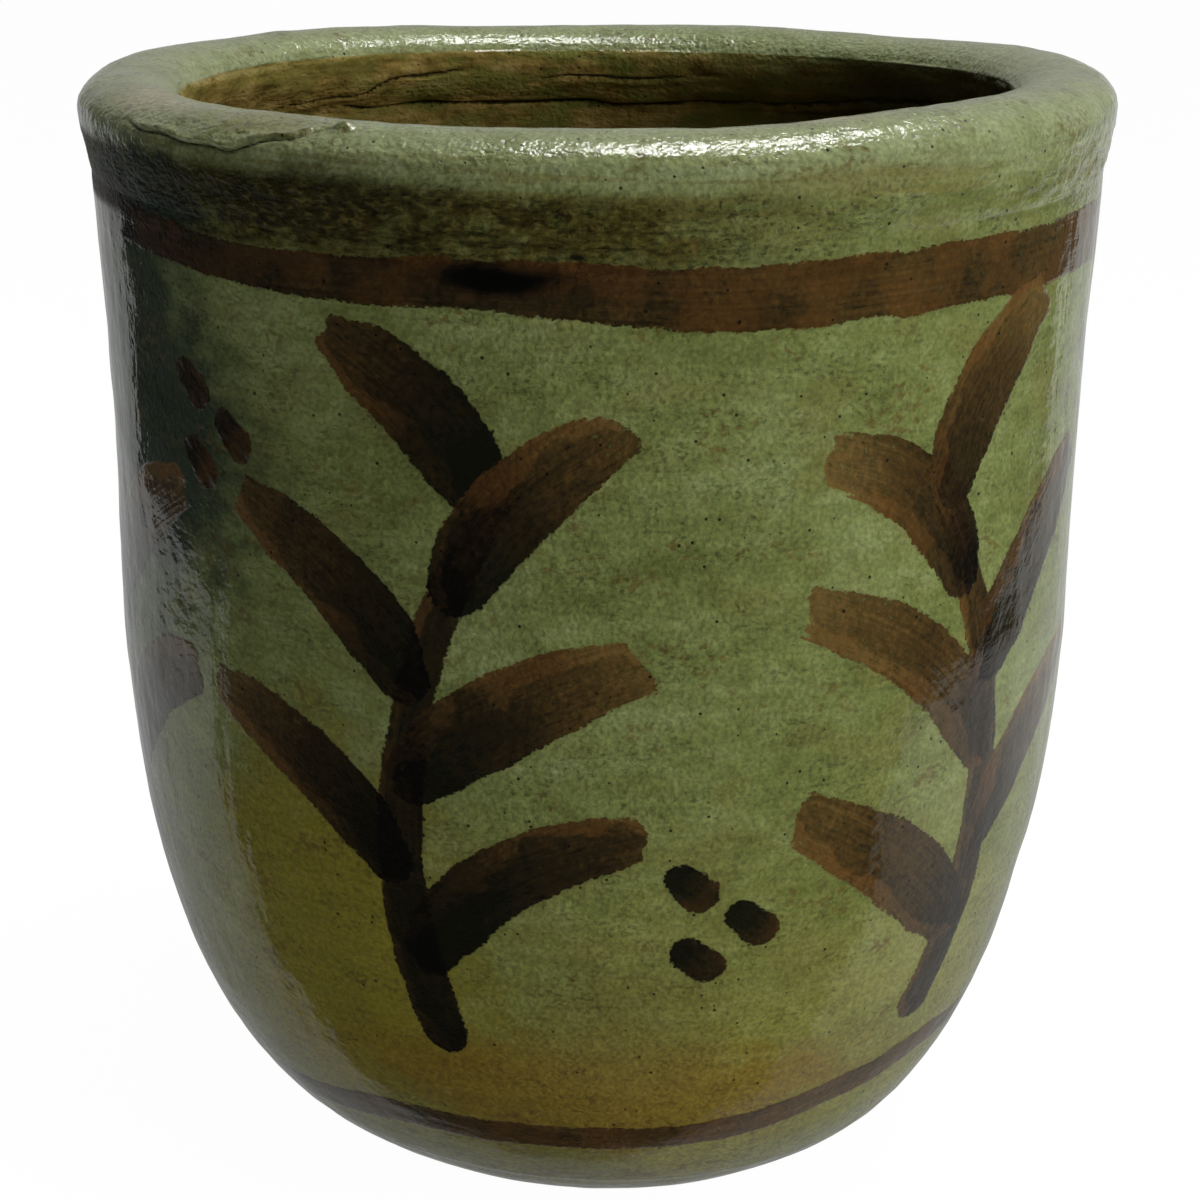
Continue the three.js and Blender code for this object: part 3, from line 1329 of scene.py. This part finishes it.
    def map_for_baking(self, segment: Array, share: Array, angle: Array) -> None:
        """Gives the piece a map of its own: round the pot by along the outline.

        Args:
            segment: The leg of the outline that each point lies on.
            share: How far along that leg it lies.
            angle: The points' angles in radians.
        """
        mesh = self.piece.data
        start = np.array(self.outline.rings)
        length = np.linalg.norm(np.roll(start, -1, axis=0) - start, axis=1) * np.array(self.outline.fineness)
        run = np.concatenate([[0], np.cumsum(length)]) / length.sum()
        up = run[segment] + share * (run[segment + 1] - run[segment])
        round_it = ((angle - math.pi / 2) / (2 * math.pi)) % 1
        corner = np.zeros(len(mesh.loops), int)
        mesh.loops.foreach_get("vertex_index", corner)
        own = np.stack([round_it, up], 1)[corner].reshape(-1, 4, 2)
        near = np.median(own, axis=1, keepdims=True)
        own = np.where(own - near > 0.5, own - 1, np.where(near - own > 0.5, own + 1, own))
        faces = mesh.uv_layers.new(name="OFBake")
        faces.data.foreach_set("uv", (0.004 + 0.992 * np.clip(own, 0, 1)).astype(np.float32).ravel())

    def record_strokes(
        self, strokes: list[BrushStroke], surface: WallMap, place: Array, outside: Array
    ) -> None:
        """Records each layer's brush coordinates on the mesh.

        Args:
            strokes: The brushwork.
            surface: The unrolled wall.
            place: Points of the true form in millimetres.
            outside: Which points can be painted.
        """
        if not strokes:
            return
        rows = np.flatnonzero(outside)
        for layer in Layer:
            field = np.zeros((len(place), 4), np.float32)
            field[:, 2] = UNPAINTED
            for number, stroke in enumerate(strokes):
                if stroke.layer is not layer:
                    continue
                values, near = stroke.lay(place[rows], surface, number)
                values[:, 2] = np.maximum(values[:, 2], UNPAINTED)
                spots = rows[near]
                better = values[:, 2] > field[spots, 2]
                field[spots[better]] = values[better]
            paint = self.piece.data.attributes.new(layer.value, "FLOAT_COLOR", "POINT")
            paint.data.foreach_set("color", field.ravel())


@dataclass(frozen=True)
class FlowerPot:
    """The whole pot: a foot slab with a drain hole, the wall, and the lip laid on it as a roll."""

    form: PotForm = PotForm()
    brushwork: Brushwork = Brushwork()
    seamlines: tuple[Seamline, ...] = (
        # The roll's tail was lapped over its start and left as a fine step with a crumb at its end
        Seamline(
            (
                (-146, 212.6), (-142, 211.6), (-138.4, 211.9), (-134, 211), (-130.5, 211.2), (-127.4, 210.8),
                (-125.2, 211.9), (-122.4, 213.2), (-120.2, 213.6), (-118, 214.9), (-116.4, 215.2),
            ),
            0.36, 0.8, 0.6,
        ),
        Seamline(((-116, 215.4), (-115, 215.4)), 0.85, -2.6),
        # A button of clay that was smeared over at the seam
        Seamline(((-92, 198.8), (-90.4, 199.2)), 1.6, -2.2),
        Seamline(((-94.2, 198), (-91.6, 197), (-88.4, 198)), 0.6, 1.2),
        # Inside, the roll was never closed on the wall, and it cracked as it dried
        Seamline(
            (
                (130, 198.9), (121, 198.5), (105, 198.8), (92, 198.6), (84, 198.5),
                (71, 199.2), (58, 200.2), (44, 201.8), (28, 202.9),
            ),
            0.7, 1.4, 0.4, True,
        ),
        Seamline(
            (
                (145, 200.2), (140, 201), (135.9, 201.9), (129.4, 202.3), (126.6, 204.4),
                (122, 206), (117.5, 206.3), (110, 207.4),
            ),
            0.42, 1.0, 0.3, True,
        ),
        Seamline(((101, 204.6), (92, 205.6), (83, 204.9), (70, 206.2)), 0.5, 0.8, 0.2, True),
    )

    def slab(self) -> TurnedPiece:
        """The base slab, whose edge starts the bowl's curve."""
        form = self.form
        low = (form.drain_radius, 0.0)
        high = (form.drain_radius, form.slab_thickness)
        side = form.bowl_side(0.0, form.slab_thickness, 9)
        bottom = straight(low, side[0], 7)
        top = straight(side[-1], high, 7)
        bore = straight(high, low, 3)
        stretches = [
            Stretch(bottom, Zone.BARE, 1.0),
            Stretch(side + top[1:2], Zone.OUTSIDE, 1.2),
            Stretch(top[1:], Zone.INSIDE, 0.6),
            Stretch(bore, Zone.BARE, 0.6),
        ]
        return TurnedPiece("foot_slab", "floor_slab", Outline(stretches, [low, side[-1], high]), 120)

    def wall(self) -> TurnedPiece:
        """The wall: the bowl and the upright part above it."""
        form = self.form
        outer = form.bowl_side(form.slab_thickness, form.bowl_height, 23) + form.upright_side(15)
        inner = form.bowl_side(form.slab_thickness, form.bowl_height, 8, True) + form.upright_side(5, True)
        inner.reverse()
        top = straight(outer[-1], inner[0], 3)
        bottom = straight(inner[-1], outer[0], 3)
        stretches = [
            Stretch(outer + top[1:2], Zone.OUTSIDE, 1.3),
            Stretch(top[1:] + inner[1:] + bottom[1:2], Zone.INSIDE, 0.5),
            Stretch(bottom[1:], Zone.OUTSIDE, 0.5),
        ]
        outline = Outline(stretches, [outer[0], outer[-1], inner[0], inner[-1]])
        return TurnedPiece("painted_wall", "wall", outline, 120, self.seamlines)

    def rim(self) -> TurnedPiece:
        """The lip: a thick roll of clay, lapped on itself at the left and smoothed onto the wall."""
        form = self.form
        over = form.lip_side(7, 13)
        turn = len(over) - 8
        under = straight(over[-1], over[0], 3)
        stretches = [
            Stretch(over[: turn + 1], Zone.OUTSIDE, 1.0),
            Stretch(over[turn:] + under[1:2], Zone.INSIDE, 0.9),
            Stretch(under[1:], Zone.OUTSIDE, 0.3),
        ]
        outline = Outline(stretches, [over[0], over[-1]])
        return TurnedPiece("rolled_rim", "rim_coil", outline, 180, self.seamlines)

    def build(self) -> None:
        """Builds the three members in the order in which a potter would."""
        surface = WallMap(self.form)
        plain = PotSkin("varnished_painted_earthenware", False).material
        painted = PotSkin("varnished_brush_painted_earthenware", True).material
        self.slab().build(plain, [], surface)
        self.wall().build(painted, self.brushwork.strokes(surface), surface)
        self.rim().build(plain, [], surface)


def straight(start: Pair, end: Pair, count: int) -> list[Pair]:
    """Draws a straight line.

    Args:
        start: First point.
        end: Last point.
        count: Number of points.

    Returns:
        The points on the line.
    """
    across = np.linspace(start[0], end[0], count)
    up = np.linspace(start[1], end[1], count)
    return [(float(a), float(b)) for a, b in zip(across, up)]


class Ray(Enum):
    """A kind of ray to which a light can be hidden."""

    GLOSSY = "visible_glossy"
    DIFFUSE = "visible_diffuse"


@dataclass(frozen=True)
class Softbox:
    """A soft light: its place, its aim and its width and height in millimetres, and its watts."""

    name: str
    place: Triple
    aim: Triple
    size: Pair
    power: float
    hidden_to: Ray


@dataclass(frozen=True)
class Studio:
    """Floor, light and camera."""

    camera_place: Triple = (2.25, -500.0, 265.84)
    camera_pitch: float = 0.312
    camera_roll: float = 0.018
    lens: float = 76.18
    lights: tuple[Softbox, ...] = (
        Softbox("key_softbox", (960, -560, 450), (0, 0, 100), (520, 520), 7.4, Ray.GLOSSY),
        Softbox("overhead_fill", (200, 40, 1150), (20, 0, 200), (460, 900), 7.5, Ray.GLOSSY),
        # A narrow window overhead, seen only as the broken line of light on the lip
        Softbox("overhead_glint", (160, 130, 1150), (20, 0, 205), (220, 600), 10.0, Ray.DIFFUSE),
    )

    def build(self) -> None:
        """Sets up the whole studio."""
        self.lay_floor()
        self.surround()
        for softbox in self.lights:
            self.hang(softbox)
        self.place_camera()

    def lay_floor(self) -> None:
        """Lays a plain pale floor. In reflections only the sheet round and behind the pot is pale."""
        bpy.ops.object.select_all(action="DESELECT")
        bpy.ops.mesh.primitive_plane_add(size=12, location=(0, 3, 0))
        floor = bpy.context.object
        floor.name = "floor"
        bpy.ops.object.transform_apply(location=True, rotation=True, scale=True)
        material = bpy.data.materials.new("pale_paper")
        board = NodeBoard(material)
        x, y, _ = board.add("SeparateXYZ", {0: board.add("TexCoord", out="Object")}).node.outputs
        # The sheet's front and right edge and its left one, which has a corner, in metres
        left = {0: board.total([(x, 1.0)], 0.405), 1: board.total([(x, 1.0), (y, 1.0)], 0.15)}
        edges = [
            (board.total([(x, 0.219), (y, 1.0)], 0.075), -0.004, 0.004),
            (board.total([(x, -1.0), (y, 0.6)], 0.401), -0.015, 0.015),
            (board.add("Math", left, operation="MAXIMUM"), -0.003, 0.003),
        ]
        rays = board.add("LightPath").node.outputs
        paper = board.add("BsdfDiffuse", {0: (0.9, 0.9, 0.9, 1)})
        dark = board.add("Emission", {0: (0.02, 0.02, 0.018, 1), 1: 1.0})
        seen = board.add("Emission", {0: (1, 1, 1, 1), 1: 1.03})
        # The sheet is lit from the right, and lies in the pot's own shade beside it
        away = board.add("VectorMath", {0: board.add("TexCoord", out="Object")}, "Value", operation="LENGTH")
        clear, rightward = board.where((away, 0.1, 0.3, 0.31, 0.44)), board.where((x, 0, 0.35, 0, 0.14))
        lit = board.total([(clear, 1.0), (rightward, 1.0)])
        glow = board.add("Emission", {0: (0.98, 1, 0.98, 1), 1: lit})
        mirrored = board.add("MixShader", {0: board.where(*edges), 1: dark, 2: glow})
        pale = board.add("MixShader", {0: 0.95, 1: paper, 2: seen})
        first = board.add("MixShader", {0: rays["Is Camera Ray"], 1: paper, 2: pale})
        last = board.add("MixShader", {0: rays["Is Glossy Ray"], 1: first, 2: mirrored})
        board.add("OutputMaterial", {0: last})
        floor.data.materials.append(material)

    def surround(self) -> None:
        """Sets a white backdrop that lights softly and shows dim in the varnish."""
        world = bpy.data.worlds.new("white_room")
        bpy.context.scene.world = world
        board = NodeBoard(world)
        rays = board.add("LightPath").node.outputs
        soft = board.add("Background", {0: (1, 1, 1, 1), 1: 0.1})
        aside, behind, _ = board.add("SeparateXYZ", {0: board.add("TexCoord")}).node.outputs
        bright = board.where((behind, -0.15, 0.25, 0.03, 0.34), (aside, -0.8, -0.4, 0.06, 1.0))
        dim = board.add("Background", {0: (1, 1, 0.93, 1), 1: bright})
        white = board.add("Background", {0: (1, 1, 1, 1), 1: 1.0})
        some = board.add("MixShader", {0: rays["Is Glossy Ray"], 1: soft, 2: dim})
        board.add("OutputWorld", {0: board.add("MixShader", {0: rays["Is Camera Ray"], 1: some, 2: white})})
        bpy.context.scene.view_settings.view_transform = "Standard"

    def hang(self, softbox: Softbox) -> None:
        """Hangs a soft light.

        Args:
            softbox: Its place, aim, size and power, and the rays that don't see it.
        """
        light = bpy.data.lights.new(softbox.name, "AREA")
        light.shape = "RECTANGLE"
        light.size, light.size_y = softbox.size[0] * MM, softbox.size[1] * MM
        light.energy = softbox.power
        lamp = bpy.data.objects.new(softbox.name, light)
        bpy.context.scene.collection.objects.link(lamp)
        spot = Vector(softbox.place) * MM
        turn = (Vector(softbox.aim) * MM - spot).to_track_quat("-Z", "Y")
        lamp.matrix_world = Matrix.Translation(spot) @ turn.to_matrix().to_4x4()
        setattr(lamp, softbox.hidden_to.value, False)

    def place_camera(self) -> None:
        """Puts the camera where the photograph was taken from."""
        camera = bpy.data.cameras.new("camera")
        camera.sensor_width = 36
        camera.lens = self.lens
        camera.clip_start = 0.01
        eye = bpy.data.objects.new("camera", camera)
        bpy.context.scene.collection.objects.link(eye)
        pitch = Matrix.Rotation(math.pi / 2 - self.camera_pitch, 4, "X")
        tilt = pitch @ Matrix.Rotation(self.camera_roll, 4, "Z")
        eye.matrix_world = Matrix.Translation(Vector(self.camera_place) * MM) @ tilt
        bpy.context.scene.camera = eye


def main() -> None:
    """Builds the pot and its studio."""
    logging.basicConfig(level=logging.INFO)
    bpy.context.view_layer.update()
    FlowerPot().build()
    Studio().build()


if __name__ == "__main__":
    main()
